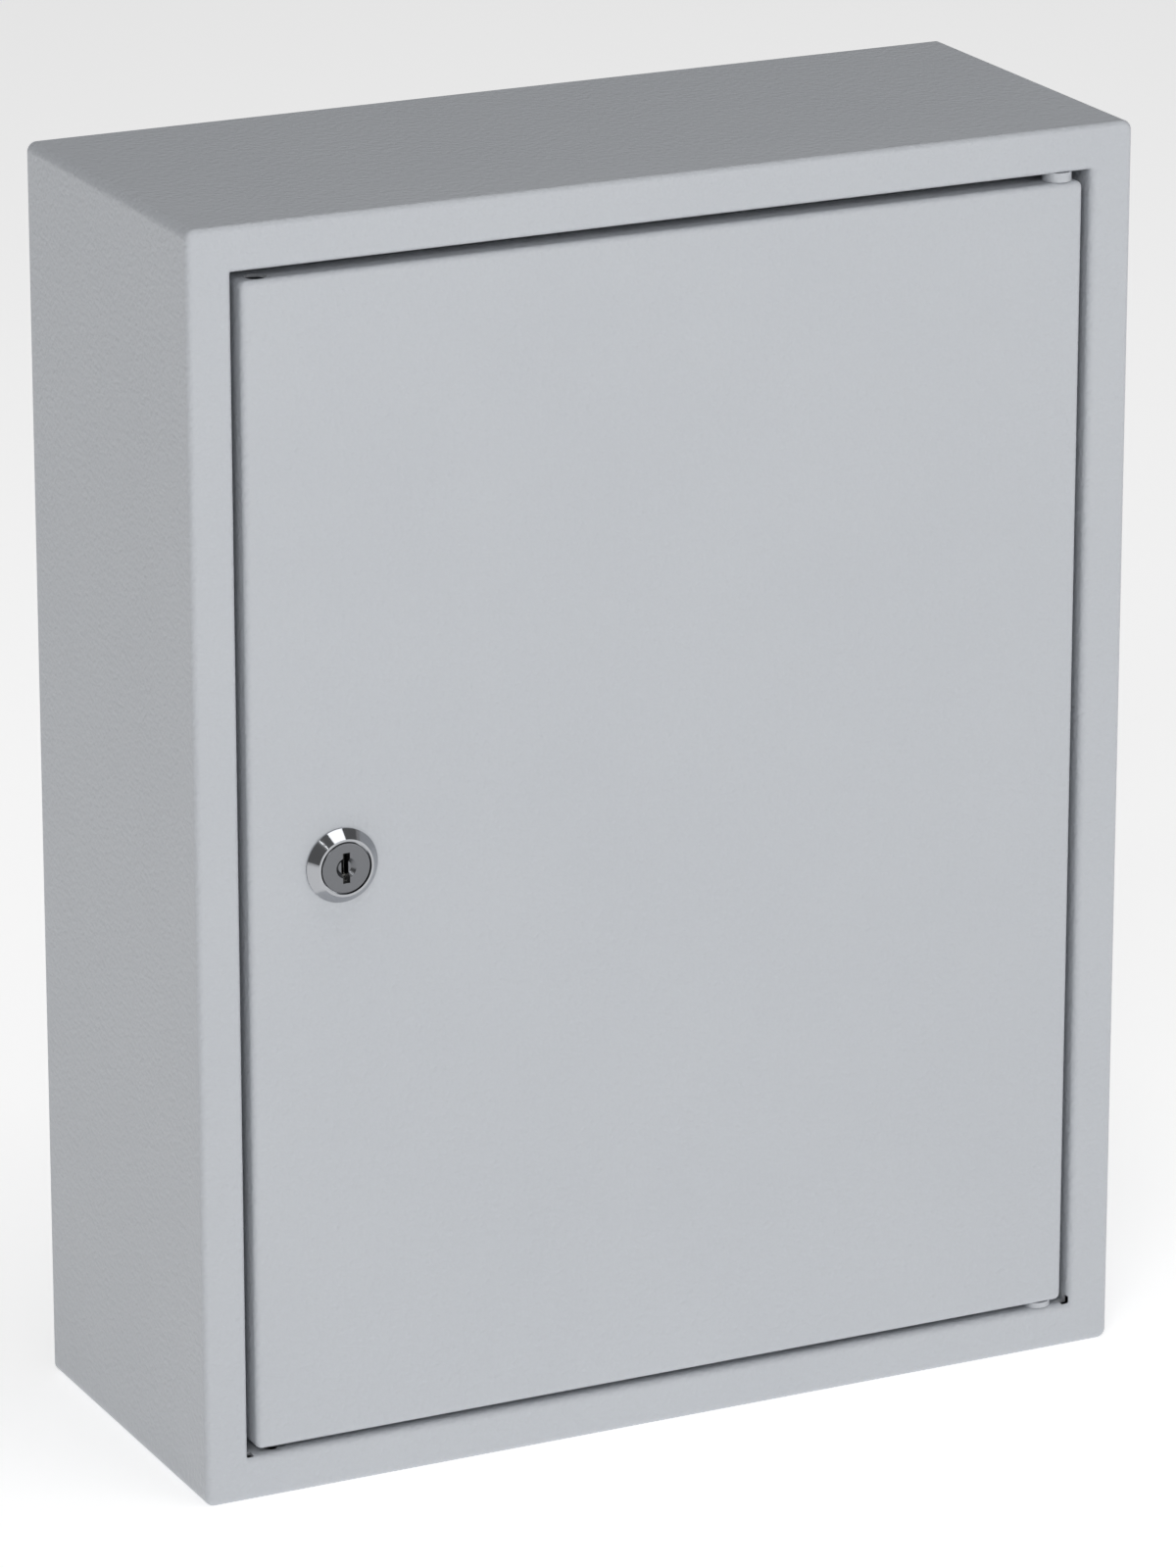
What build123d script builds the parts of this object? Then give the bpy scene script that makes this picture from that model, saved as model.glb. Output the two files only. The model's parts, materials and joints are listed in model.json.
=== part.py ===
from build123d import *

import os

# Wall-hung steel distribution cabinet with a flush, lockable, reversible door.
# Millimetres. X runs to the right seen from the front, +Y into the wall, +Z up.
# The origin is the centre of the rear face, which is also the centre of the wall holes.

# ---- driving dimensions -------------------------------------------------------------
cabinet_width = 310.0
cabinet_height = 395.0
cabinet_depth = 120.0
sheet = 1.0  # wall of the housing, door, back wall and dead front
wrap_bend_radius = 3.0  # outside radius of the four long edges of the housing
front_bend_radius = 1.8  # outside radius round the front face and round the door
frame_width = 14.0  # visible width of the front frame
opening_bend_radius = 2.2  # outside radius where the frame turns into the opening
opening_corner_radius = 0.3
return_depth = 16.0  # front face to the back of the rebate lip
lip_width = 14.0
relief_size = 2.0  # notches in the two lower corners of the folded returns
relief_start = 1.0  # behind the front face
relief_end = 4.0

door_gap_side = 2.8
door_gap_top = 3.0
door_gap_bottom = 1.8
door_depth = 11.0
door_corner_radius = 2.0

hinge_inset_x = 6.5  # hinge axis from the edge of the door
hinge_inset_y = 5.0  # hinge axis behind the face of the door
hinge_pin_diameter = 4.0
running_clearance = 0.05  # radial, between a turning shaft and its hole
fixing_clearance = 0.1  # radial, between a fastener and its hole
end_clearance = 0.1  # between the door and the spacers of its hinges
hinge_spacer_diameter = 9.0
hinge_head_diameter = 7.0
hinge_head_height = 2.0
hinge_pin_chamfer = 0.6
bush_diameter = 6.4
bush_collar_diameter = 7.6
bush_collar_height = 1.2
pin_tip_length = 1.2  # pin beyond its bush
corner_plate_length = 20.0
corner_plate_thickness = 2.5

gasket_width = 9.0
gasket_inset = 6.2  # outside of the gasket from the inside of the door's side
gasket_corner_radius = 12.0
gasket_clearance = 0.3  # gasket to lip with the door shut

lock_gasket_clearance = 0.8  # corners of the lock nut to the gasket
lock_height = 197.5  # lock axis above the underside of the cabinet
bezel_overhang = 2.5  # bezel beyond the barrel
bezel_height = 3.4
bezel_rim = 0.5  # straight rim at the foot of the bezel's cone
bezel_slope = 2.6  # radius lost from the foot of the cone to its top
bezel_lip = 0.7  # flat ring round the bore of the bezel
barrel_diameter = 18.0
barrel_flats = 16.0
plug_diameter = 12.4
plug_face_groove = 0.4  # between the face of the plug and the bezel
plug_face_thickness = 2.0
plug_face_rounding = 0.4
keyhole_diameter = 6.5
keyhole_depth = 1.2
keyway_width = 2.3
keyway_height = 9.4
keyway_depth = 14.0
wafer_offsets = (0.3, -0.5, 0.1, 0.6, -0.2)  # window of each wafer above the lock axis
wafer_pitch = 2.2
wafer_first = 4.0  # first wafer behind the face of the plug
wafer_thickness = 0.9
wafer_width = 5.8
wafer_clearance = 0.1
wafer_window_width = 2.5
wafer_window_height = 7.0
lock_nut_wall = 2.0  # barrel to the flats of its nut
lock_nut_thickness = 5.0
lock_washer_wall = 3.0
lock_washer_thickness = 0.8
cam_clearance = 0.4  # cam to the back of the lip
cam_thickness = 2.0
cam_reach = 30.0
cam_width = 14.0
cam_corner_radius = 3.0
cam_square = 7.0
cam_washer_diameter = 11.0
cam_washer_thickness = 0.8
cam_screw_diameter = 4.0
cam_screw_head_diameter = 8.0
cam_screw_head_height = 2.6
cam_screw_depth = 4.5

wall_hole_inset = 30.0  # wall holes from the sides of the cabinet
wall_hole_diameter = 8.0
back_flange = 12.0
back_bend_radius = 1.5

rail_height = 35.0
rail_sheet = 1.0
rail_bend_radius = 0.8  # inside radius of the rail's folds
rail_depth = 7.5
rail_hat = 27.0  # outside height of the rail's raised middle
rail_overhang = 9.0  # rail beyond the middle of its support
rail_slot_length = 15.0
rail_slot_width = 6.2
rail_slot_pitch = 25.0
rail_slot_end = 15.0  # least distance from the last slot to the end of the rail
rail_screw_diameter = 4.0
rail_screw_tip = 2.0  # beyond the support
rail_screw_head_diameter = 8.0
rail_screw_head_height = 2.4
rail_row_spacing = 150.0
rail_behind_dead_front = 47.0  # rail flanges behind the back of the dead front

support_inset = 49.0  # middle of a rail support from the side of the cabinet
support_width = 20.0
support_thickness = 1.5
support_bend_radius = 2.5
support_leg_offset = 12.0  # outside of a support's leg from the standoff axis
support_foot = 22.0

stud_diameter = 5.0
stud_length = 9.0
standoff_inset = 40.5  # standoff axis from the top and bottom of the cabinet
standoff_flats = 8.0
standoff_thread_depth = 12.0
standoff_thread_spare = 1.0  # thread beyond the end of the stud

dead_front_behind_cam = 4.2  # face of the dead front behind the head of the cam screw
dead_front_clearance = 2.0  # round the dead front inside the lip
dead_front_flange = 8.0
dead_front_bend_radius = 1.5
dead_front_corner = 3.0
module_width = 18.0
modules_per_row = 12
module_slot_height = 46.0
module_slot_radius = 1.0
panel_screw_diameter = 5.0
panel_screw_head_diameter = 9.5
panel_screw_head_height = 3.0
panel_screw_length = 9.0
recess_width = 1.2  # screwdriver slot in a screw head
recess_depth = 1.2

bar_inset = 62.5  # terminal bars from the top and bottom of the cabinet
bar_length = 110.0
bar_depth = 9.0
bar_thickness = 6.5
bar_chamfer = 0.5
bar_pitch = 8.0
bar_holes = 10
bar_wire_diameter = 5.0
bar_screw_diameter = 4.0
bar_screw_head_diameter = 5.6
bar_screw_head_height = 2.4
bar_screw_short = 0.4  # screw tip above the middle of the wire hole
holder_stand_off = 30.0  # bar above the back wall
holder_length = 12.0
holder_width = 14.0
holder_foot = 10.0
holder_foot_thickness = 4.0
holder_grip = 5.0  # end of the bar inside its holder
holder_cap = 3.0  # insulation in front of the bar
holder_chamfer = 1.0
holder_screw_diameter = 4.0
holder_screw_head_diameter = 7.6
holder_screw_head_height = 2.4

gland_cutout_width = 200.0
gland_cutout_depth = 60.0
gland_cutout_radius = 4.0
gland_overlap = 13.0
gland_plate_thickness = 1.2
gland_seal_thickness = 2.0
gland_stud_inset = 6.5
gland_stud_length = 9.0
grommet_pitch = 64.0
grommet_count = 3
grommet_hole = 28.0
grommet_clearance = 0.1  # radial, between a grommet's groove and its hole
grommet_rim_diameter = 36.0
grommet_rim_outside = 1.8
grommet_rim_inside = 3.0
grommet_wall = 2.0
grommet_dome_height = 9.0
grommet_step_ratios = (0.72, 0.45)  # upper steps of the dome over its hollow
grommet_step_levels = (0.4, 0.75)  # where the steps change, over the dome's height
grommet_hollow_ratio = 0.6  # hollow under the first step over the hollow below
grommet_chamfer_ratio = 0.4  # chamfer of the inner rim over its thickness

earth_stud_diameter = 6.0
earth_stud_length = 16.0
door_earth_inset_x = 42.2  # from the hinged edge of the door
door_earth_inset_z = 49.7  # from the bottom edge of the door
body_earth_x = 0.0
body_earth_inset = 19.5  # from the bottom of the cabinet
washer_ratio = 2.0  # washer diameter over thread diameter
washer_thickness = 1.0
nut_height_ratio = 0.8  # nut height over thread diameter
nut_flats_ratio = 1.65  # nut size across flats over thread diameter
hexagon_ratio = 0.8660254  # size across flats over size across corners
hexagon_chamfer_ratio = 0.05  # chamfer over size across corners
screw_rounding_ratio = 0.4  # rounding of a screw head over its height
pin_rounding_ratio = 0.6  # rounding of a rivet head over its height
least_inside_step = 0.1  # inside corner radius above the bend radius of a pan

# ---- places worked out from them ----------------------------------------------------
front_y = -cabinet_depth
back_inner_y = -sheet
side_x = cabinet_width / 2
top_z = cabinet_height / 2
opening_width = cabinet_width - 2 * frame_width
opening_height = cabinet_height - 2 * frame_width
lip_back_y = front_y + return_depth
lip_front_y = lip_back_y - sheet

door_width = opening_width - 2 * door_gap_side
door_height = opening_height - door_gap_top - door_gap_bottom
door_z = (door_gap_bottom - door_gap_top) / 2
door_side_x = door_width / 2
door_top_z = door_z + door_height / 2
door_bottom_z = door_z - door_height / 2
door_inner_y = front_y + sheet
door_back_y = front_y + door_depth

hinge_x = door_side_x - hinge_inset_x
hinge_y = front_y + hinge_inset_y

door_earth_x = door_side_x - door_earth_inset_x
door_earth_z = door_bottom_z + door_earth_inset_z
body_earth_z = body_earth_inset - top_z

gasket_outer_x = door_side_x - sheet - gasket_inset
lock_nut_flats = barrel_diameter + 2 * lock_nut_wall
lock_washer_diameter = barrel_diameter + 2 * lock_washer_wall
lock_x = gasket_width - gasket_outer_x + lock_gasket_clearance + lock_nut_flats / 2 / hexagon_ratio
lock_z = lock_height - top_z
bezel_diameter = barrel_diameter + 2 * bezel_overhang
bezel_top_diameter = bezel_diameter - 2 * bezel_slope
bezel_bore = bezel_top_diameter - 2 * bezel_lip
plug_face_diameter = bezel_bore - 2 * plug_face_groove
cam_y = lip_back_y + cam_clearance
plug_end_y = cam_y + cam_thickness
cam_screw_y = plug_end_y + cam_washer_thickness
plug_front_y = front_y - bezel_height
plug_seat_y = plug_front_y + plug_face_thickness + running_clearance
barrel_end_y = cam_y - running_clearance

dead_front_y = cam_screw_y + cam_screw_head_height + dead_front_behind_cam
dead_front_back_y = dead_front_y + sheet
dead_front_width = opening_width - 2 * lip_width - 2 * dead_front_clearance
dead_front_height = opening_height - 2 * lip_width - 2 * dead_front_clearance
module_slot_width = module_width * modules_per_row
rail_front_y = dead_front_back_y + rail_behind_dead_front
rail_back_y = rail_front_y + rail_depth
support_offset = side_x - support_inset
standoff_z = top_z - standoff_inset
support_half_height = standoff_z - support_leg_offset
bar_z = top_z - bar_inset
rail_length = 2 * (support_offset + rail_overhang)
rail_slot_count = int((rail_length - 2 * rail_slot_end) / rail_slot_pitch)
bottom_inner_z = -top_z + sheet
gland_plate_z = bottom_inner_z + gland_seal_thickness
gland_top_z = gland_plate_z + gland_plate_thickness
gland_y = front_y / 2


# ---- helpers ------------------------------------------------------------------------
def span(middle, size):
    """The two limits of a size about its middle."""
    return (middle - size / 2, middle + size / 2)


def block(x, y, z):
    """A box between pairs of limits."""
    centre = (sum(x) / 2, sum(y) / 2, sum(z) / 2)
    return Pos(*centre) * Box(x[1] - x[0], y[1] - y[0], z[1] - z[0])


def front_slab(width, height, y, radius=0.0, x=0.0, z=0.0):
    """A plate parallel to the front between two depths, with rounded corners."""
    plane = Plane(origin=(x, y[1], z), x_dir=(1, 0, 0), z_dir=(0, -1, 0))
    outline = RectangleRounded(width, height, radius) if radius else Rectangle(width, height)
    return extrude(plane * outline, y[1] - y[0])


def round_front(solid, radius):
    """Rounds the edges of the face nearest the viewer."""
    return fillet(solid.faces().sort_by(Axis.Y)[0].edges(), radius)


def tray(width, height, y, corner_radius, bend_radius, z=0.0):
    """A folded sheet pan, open towards the wall."""
    outside = round_front(front_slab(width, height, y, corner_radius, z=z), bend_radius)
    hollow = (y[0] + sheet, y[1])
    inside_radius = max(corner_radius - sheet, bend_radius - sheet + least_inside_step)
    inside = front_slab(width - 2 * sheet, height - 2 * sheet, hollow, inside_radius, z=z)
    return outside - round_front(inside, bend_radius - sheet)


def rod_y(diameter, y, x=0.0, z=0.0):
    """A round bar along Y between two depths."""
    return Pos(x, sum(y) / 2, z) * Rot(90, 0, 0) * Cylinder(diameter / 2, y[1] - y[0])


def rod_z(diameter, z, x=0.0, y=0.0):
    """A round bar along Z between two heights."""
    return Pos(x, y, sum(z) / 2) * Cylinder(diameter / 2, z[1] - z[0])


def hexagon_y(flats, y, x=0.0, z=0.0):
    """A hexagonal bar along Y, with its corners slightly turned down at both ends."""
    plane = Plane(origin=(x, y[1], z), x_dir=(1, 0, 0), z_dir=(0, -1, 0))
    across_corners = flats / hexagon_ratio
    bar = extrude(plane * RegularPolygon(across_corners / 2, 6), y[1] - y[0])
    turned = rod_y(across_corners, y, x, z)
    return bar & chamfer(turned.edges().filter_by(GeomType.CIRCLE), across_corners * hexagon_chamfer_ratio)


def hexagon_z(flats, z, x=0.0, y=0.0):
    """A hexagonal bar along Z, like hexagon_y."""
    across_corners = flats / hexagon_ratio
    bar = Pos(x, y, z[0]) * extrude(RegularPolygon(across_corners / 2, 6), z[1] - z[0])
    turned = rod_z(across_corners, z, x, y)
    return bar & chamfer(turned.edges().filter_by(GeomType.CIRCLE), across_corners * hexagon_chamfer_ratio)


def corners(x, z):
    """The four mirror places of a point."""
    return [(sx * x, sz * z) for sx in (-1, 1) for sz in (-1, 1)]


def group(solids):
    """Several separate solids in one node."""
    return Compound(children=[Part(s.wrapped) if isinstance(s, Solid) else s for s in solids])


def slotted_screw_y(diameter, length, head_diameter, head_height, seat_y, x, z):
    """A pan-head screw whose head faces the viewer and sits on seat_y."""
    head = rod_y(head_diameter, (seat_y - head_height, seat_y), x, z)
    head = fillet(head.faces().sort_by(Axis.Y)[0].edges(), head_height * screw_rounding_ratio)
    slot_y = (seat_y - head_height, seat_y - head_height + recess_depth)
    slot = block(span(x, head_diameter), slot_y, span(z, recess_width))
    return head + rod_y(diameter, (seat_y, seat_y + length), x, z) - slot


# ---- housing ------------------------------------------------------------------------
def make_housing_shell():
    """The wrapped sides with the folded front frame, its returns and the rebate lip."""
    shell = tray(cabinet_width, cabinet_height, (front_y, 0), wrap_bend_radius, front_bend_radius)
    rebate = (front_y + sheet / 2, lip_back_y)
    shell += front_slab(opening_width + 2 * sheet, opening_height + 2 * sheet, rebate)
    mouth = (front_y - sheet, lip_front_y)
    shell -= front_slab(opening_width, opening_height, mouth, opening_corner_radius)
    throat_width = opening_width - 2 * lip_width
    throat_height = opening_height - 2 * lip_width
    shell -= front_slab(throat_width, throat_height, (front_y, lip_back_y), wrap_bend_radius)

    face = shell.faces().filter_by(Plane.XZ).sort_by(Axis.Y)[0]
    shell = fillet(face.inner_wires()[0].edges(), opening_bend_radius)

    notch_z = (-opening_height / 2 - sheet, -opening_height / 2 + relief_size)
    for sx in (-1, 1):
        x = sorted((sx * (opening_width / 2 - relief_size), sx * (opening_width / 2 + sheet)))
        shell -= block(x, (front_y + relief_start, front_y + relief_end), notch_z)

    pin_hole = hinge_pin_diameter + 2 * fixing_clearance
    for x, z in corners(hinge_x, opening_height / 2 + sheet / 2):
        shell -= rod_z(pin_hole, (z - sheet, z + sheet), x, hinge_y)

    cutout = RectangleRounded(gland_cutout_width, gland_cutout_depth, gland_cutout_radius)
    shell -= extrude(Pos(0, gland_y, -top_z) * cutout, sheet)
    return shell


def make_back_wall():
    """A shallow pan let into the back of the housing, open towards the front."""
    width = cabinet_width - 2 * sheet
    height = cabinet_height - 2 * sheet
    corner = wrap_bend_radius - sheet
    pan = front_slab(width, height, (-back_flange, 0), corner)
    pan = fillet(pan.faces().sort_by(Axis.Y)[-1].edges(), back_bend_radius)
    hollow_corner = corner - sheet + least_inside_step
    hollow = front_slab(width - 2 * sheet, height - 2 * sheet, (-back_flange, back_inner_y), hollow_corner)
    hollow = fillet(hollow.faces().sort_by(Axis.Y)[-1].edges(), back_bend_radius - sheet)
    pan -= hollow
    for x, z in corners(side_x - wall_hole_inset, top_z - wall_hole_inset):
        pan -= rod_y(wall_hole_diameter, (-2 * sheet, sheet), x, z)
    return pan


def make_gland_plate():
    """The removable plate over the cable cut-out, with its grommet and stud holes."""
    width = gland_cutout_width + 2 * gland_overlap
    depth = gland_cutout_depth + 2 * gland_overlap
    outline = RectangleRounded(width, depth, gland_cutout_radius)
    plate = extrude(Pos(0, gland_y, gland_plate_z) * outline, gland_plate_thickness)
    for x in grommet_places():
        plate -= rod_z(grommet_hole, (gland_plate_z, gland_top_z), x, gland_y)
    for x, y in gland_stud_places():
        hole = stud_diameter + 2 * fixing_clearance
        plate -= rod_z(hole, (gland_plate_z, gland_top_z), x, y)
    return plate


def make_gland_plate_seal():
    """The flat gasket between the gland plate and the floor of the housing."""
    width = gland_cutout_width + 2 * gland_overlap
    depth = gland_cutout_depth + 2 * gland_overlap
    outline = RectangleRounded(width, depth, gland_cutout_radius)
    outline -= RectangleRounded(gland_cutout_width, gland_cutout_depth, gland_cutout_radius)
    seal = extrude(Pos(0, gland_y, bottom_inner_z) * outline, gland_seal_thickness)
    for x, y in gland_stud_places():
        hole = stud_diameter + 2 * fixing_clearance
        seal -= rod_z(hole, (bottom_inner_z, gland_plate_z), x, y)
    return seal


def grommet_places():
    """The grommet axes along the gland plate."""
    return [(i - (grommet_count - 1) / 2) * grommet_pitch for i in range(grommet_count)]


def gland_stud_places():
    """The four studs round the cable cut-out."""
    x = gland_cutout_width / 2 + gland_stud_inset
    y = gland_cutout_depth / 2 + gland_stud_inset
    return [(sx * x, gland_y + sy * y) for sx in (-1, 1) for sy in (-1, 1)]


def make_cable_grommets():
    """Blind rubber grommets: a grooved ring with a stepped, closed dome inside the cabinet."""
    made = []
    for x in grommet_places():
        ring = rod_z(grommet_rim_diameter, (gland_plate_z - grommet_rim_outside, gland_plate_z), x, gland_y)
        groove = grommet_hole - 2 * grommet_clearance
        ring += rod_z(groove, (gland_plate_z, gland_top_z), x, gland_y)
        upper = rod_z(grommet_rim_diameter, (gland_top_z, gland_top_z + grommet_rim_inside), x, gland_y)
        bevel = grommet_rim_inside * grommet_chamfer_ratio
        ring += chamfer(upper.faces().sort_by(Axis.Z)[-1].edges(), bevel)
        dome_z = gland_top_z + grommet_rim_inside
        first = grommet_hole - 2 * grommet_wall
        diameters = (first + grommet_wall, *[first * ratio for ratio in grommet_step_ratios])
        levels = [dome_z + level * grommet_dome_height for level in (0, *grommet_step_levels, 1)]
        for diameter, step in zip(diameters, zip(levels, levels[1:])):
            ring += rod_z(diameter, step, x, gland_y)
        hollow_z = gland_plate_z - grommet_rim_outside
        ring -= rod_z(first, (hollow_z, dome_z), x, gland_y)
        hollow = (dome_z, levels[1] - grommet_wall / 2)
        ring -= rod_z(first * grommet_hollow_ratio, hollow, x, gland_y)
        made.append(ring)
    return group(made)


def make_gland_studs():
    """Weld studs on the floor of the housing."""
    top = bottom_inner_z + gland_stud_length
    return group([rod_z(stud_diameter, (bottom_inner_z, top), x, y) for x, y in gland_stud_places()])


def make_gland_nuts():
    """Nuts that hold the gland plate down."""
    made = []
    for x, y in gland_stud_places():
        z = (gland_top_z, gland_top_z + nut_height_ratio * stud_diameter)
        nut = hexagon_z(nut_flats_ratio * stud_diameter, z, x, y)
        made.append(nut - rod_z(stud_diameter, z, x, y))
    return group(made)


# ---- rails, supports and dead front -------------------------------------------------
def make_frame_studs():
    """Weld studs on the back wall that carry the rail supports."""
    y = (back_inner_y - stud_length, back_inner_y)
    return group([rod_y(stud_diameter, y, x, z) for x, z in corners(support_offset, standoff_z)])


def make_rail_support(side):
    """A strap bent at both ends, from foot to foot over the back wall."""
    middle = support_thickness / 2
    web_y = rail_back_y + middle
    foot_y = back_inner_y - middle
    foot_z = support_half_height + support_foot
    leg_z = support_half_height - middle
    half = [(leg_z, web_y), (leg_z, foot_y), (foot_z, foot_y)]
    outline = [(-z, y) for z, y in reversed(half)] + half
    path = FilletPolyline(*outline, radius=support_bend_radius - middle)
    profile = trace(path, line_width=support_thickness)
    start_x = side * support_offset - support_width / 2
    side_plane = Plane(origin=(start_x, 0, 0), x_dir=(0, 0, -1), z_dir=(1, 0, 0))
    strap = extrude(side_plane * profile, support_width)
    hole = stud_diameter + 2 * fixing_clearance
    for z in (-standoff_z, standoff_z):
        strap -= rod_y(hole, (foot_y - middle, back_inner_y), side * support_offset, z)
    for z in rail_rows():
        web = (rail_back_y, rail_back_y + support_thickness)
        strap -= rod_y(rail_screw_diameter, web, side * support_offset, z)
    return strap


def rail_rows():
    """The heights of the two rails."""
    return (-rail_row_spacing / 2, rail_row_spacing / 2)


def make_din_rail(row_z):
    """A slotted top-hat rail."""
    half = rail_sheet / 2
    rim_y = rail_front_y + half
    floor_y = rail_back_y - half
    wall_z = rail_hat / 2 - half
    rim = [(wall_z, floor_y), (wall_z, rim_y), (rail_height / 2, rim_y)]
    outline = [(-z, y) for z, y in reversed(rim)] + rim
    path = FilletPolyline(*outline, radius=rail_bend_radius + half)
    profile = trace(path, line_width=rail_sheet)
    plane = Plane(origin=(-rail_length / 2, 0, row_z), x_dir=(0, 0, -1), z_dir=(1, 0, 0))
    rail = extrude(plane * profile, rail_length)
    floor = (rail_back_y - rail_sheet, rail_back_y)
    for i in range(rail_slot_count):
        x = (i - (rail_slot_count - 1) / 2) * rail_slot_pitch
        slot_plane = Plane(origin=(x, floor[1], row_z), x_dir=(1, 0, 0), z_dir=(0, -1, 0))
        rail -= extrude(slot_plane * SlotOverall(rail_slot_length, rail_slot_width), rail_sheet)
    for x in (-support_offset, support_offset):
        rail -= rod_y(rail_screw_diameter + 2 * fixing_clearance, floor, x, row_z)
    return rail


def make_rail_screws():
    """Screws through the rails into the supports."""
    seat_y = rail_back_y - rail_sheet
    size = (rail_screw_diameter, rail_sheet + support_thickness + rail_screw_tip)
    head = (rail_screw_head_diameter, rail_screw_head_height)
    places = corners(support_offset, rail_row_spacing / 2)
    return group([slotted_screw_y(*size, *head, seat_y, x, z) for x, z in places])


def make_standoffs():
    """Hexagonal pillars that clamp the supports and carry the dead front."""
    made = []
    foot_y = back_inner_y - support_thickness
    for x, z in corners(support_offset, standoff_z):
        pillar = hexagon_y(standoff_flats, (dead_front_back_y, foot_y), x, z)
        stud_thread = (back_inner_y - stud_length - standoff_thread_spare, foot_y)
        screw_thread = (dead_front_back_y, dead_front_back_y + standoff_thread_depth)
        pillar -= rod_y(stud_diameter, stud_thread, x, z)
        pillar -= rod_y(panel_screw_diameter, screw_thread, x, z)
        made.append(pillar)
    return group(made)


def make_dead_front():
    """The shallow inner cover with a window for each row of devices."""
    depth = (dead_front_y, dead_front_y + dead_front_flange)
    cover = tray(dead_front_width, dead_front_height, depth, dead_front_corner, dead_front_bend_radius)
    through = (dead_front_y, dead_front_back_y)
    for z in rail_rows():
        cover -= front_slab(module_slot_width, module_slot_height, through, module_slot_radius, z=z)
    for x, z in corners(support_offset, standoff_z):
        cover -= rod_y(panel_screw_diameter + 2 * fixing_clearance, through, x, z)
    return cover


def make_dead_front_screws():
    """Screws of the dead front."""
    size = (panel_screw_diameter, panel_screw_length)
    head = (panel_screw_head_diameter, panel_screw_head_height)
    places = corners(support_offset, standoff_z)
    return group([slotted_screw_y(*size, *head, dead_front_y, x, z) for x, z in places])


# ---- terminal bars ------------------------------------------------------------------
def bar_back_y():
    """The back of a terminal bar."""
    return back_inner_y - holder_stand_off


def bar_hole_places():
    """The wire holes along a terminal bar."""
    return [(i - (bar_holes - 1) / 2) * bar_pitch for i in range(bar_holes)]


def make_terminal_bar(z):
    """A brass bar with cross holes for wires and clamping screws from the front."""
    front = bar_back_y() - bar_depth
    bar = block(span(0, bar_length), (front, bar_back_y()), span(z, bar_thickness))
    bar = chamfer(bar.edges().filter_by(Axis.X), bar_chamfer)
    wire_y = bar_back_y() - bar_depth / 2
    for x in bar_hole_places():
        bar -= rod_z(bar_wire_diameter, span(z, bar_thickness), x, wire_y)
        bar -= rod_y(bar_screw_diameter, (front, wire_y), x, z)
    return bar


def make_terminal_screws(bar_z):
    """Clamping screws of one terminal bar."""
    seat_y = bar_back_y() - bar_depth
    size = (bar_screw_diameter, bar_depth / 2 - bar_screw_short)
    head = (bar_screw_head_diameter, bar_screw_head_height)
    return group([slotted_screw_y(*size, *head, seat_y, x, bar_z) for x in bar_hole_places()])


def make_bar_holders(z):
    """Two insulating posts that grip the ends of a bar, each with a foot on the back wall."""
    made = []
    front = bar_back_y() - bar_depth - holder_cap
    for side in (-1, 1):
        inner_x = side * (bar_length / 2 - holder_grip)
        outer_x = inner_x + side * holder_length
        foot_x = outer_x + side * holder_foot
        post = block(sorted((inner_x, outer_x)), (front, back_inner_y), span(z, holder_width))
        post = chamfer(post.faces().sort_by(Axis.Y)[0].edges(), holder_chamfer)
        foot_y = (back_inner_y - holder_foot_thickness, back_inner_y)
        post += block(sorted((outer_x, foot_x)), foot_y, span(z, holder_width))
        bar_y = (bar_back_y() - bar_depth, bar_back_y())
        post -= block(sorted((inner_x, side * bar_length / 2)), bar_y, span(z, bar_thickness))
        hole = holder_screw_diameter + 2 * fixing_clearance
        post -= rod_y(hole, foot_y, holder_screw_x(side), z)
        made.append(post)
    return group(made)


def holder_screw_x(side):
    """The screw in the foot of a bar holder."""
    return side * (bar_length / 2 - holder_grip + holder_length + holder_foot / 2)


def make_holder_screws():
    """Screws that hold the bar holders on the back wall."""
    seat_y = back_inner_y - holder_foot_thickness
    size = (holder_screw_diameter, holder_foot_thickness)
    head = (holder_screw_head_diameter, holder_screw_head_height)
    places = corners(holder_screw_x(1), bar_z)
    return group([slotted_screw_y(*size, *head, seat_y, x, z) for x, z in places])


# ---- earth studs --------------------------------------------------------------------
def make_earth_stud(base_y, x, z):
    """A weld stud that points at the viewer or, on the door, at the wall."""
    return rod_y(earth_stud_diameter, base_y, x, z)


def make_washer(y, x, z):
    """A plain washer of the earth studs."""
    ring = rod_y(washer_ratio * earth_stud_diameter, y, x, z)
    return ring - rod_y(earth_stud_diameter + 2 * fixing_clearance, y, x, z)


def make_nut(y, x, z):
    """A hexagonal nut of the earth studs."""
    return hexagon_y(nut_flats_ratio * earth_stud_diameter, y, x, z) - rod_y(earth_stud_diameter, y, x, z)


def body_earth_levels():
    """Front and back of two washers and two nuts, stacked out from the back wall."""
    levels = [back_inner_y]
    nut_height = nut_height_ratio * earth_stud_diameter
    for step in (nut_height, washer_thickness, washer_thickness, nut_height):
        levels.append(levels[-1] - step)
    return levels


def make_body_earth_washers():
    """The pair of washers that would clamp the earth lead's lug."""
    levels = body_earth_levels()
    pairs = ((levels[2], levels[1]), (levels[3], levels[2]))
    return group([make_washer(pair, body_earth_x, body_earth_z) for pair in pairs])


def make_body_earth_nuts():
    """The seat nut against the wall and the clamping nut."""
    levels = body_earth_levels()
    pairs = ((levels[1], levels[0]), (levels[4], levels[3]))
    return group([make_nut(pair, body_earth_x, body_earth_z) for pair in pairs])


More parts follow.
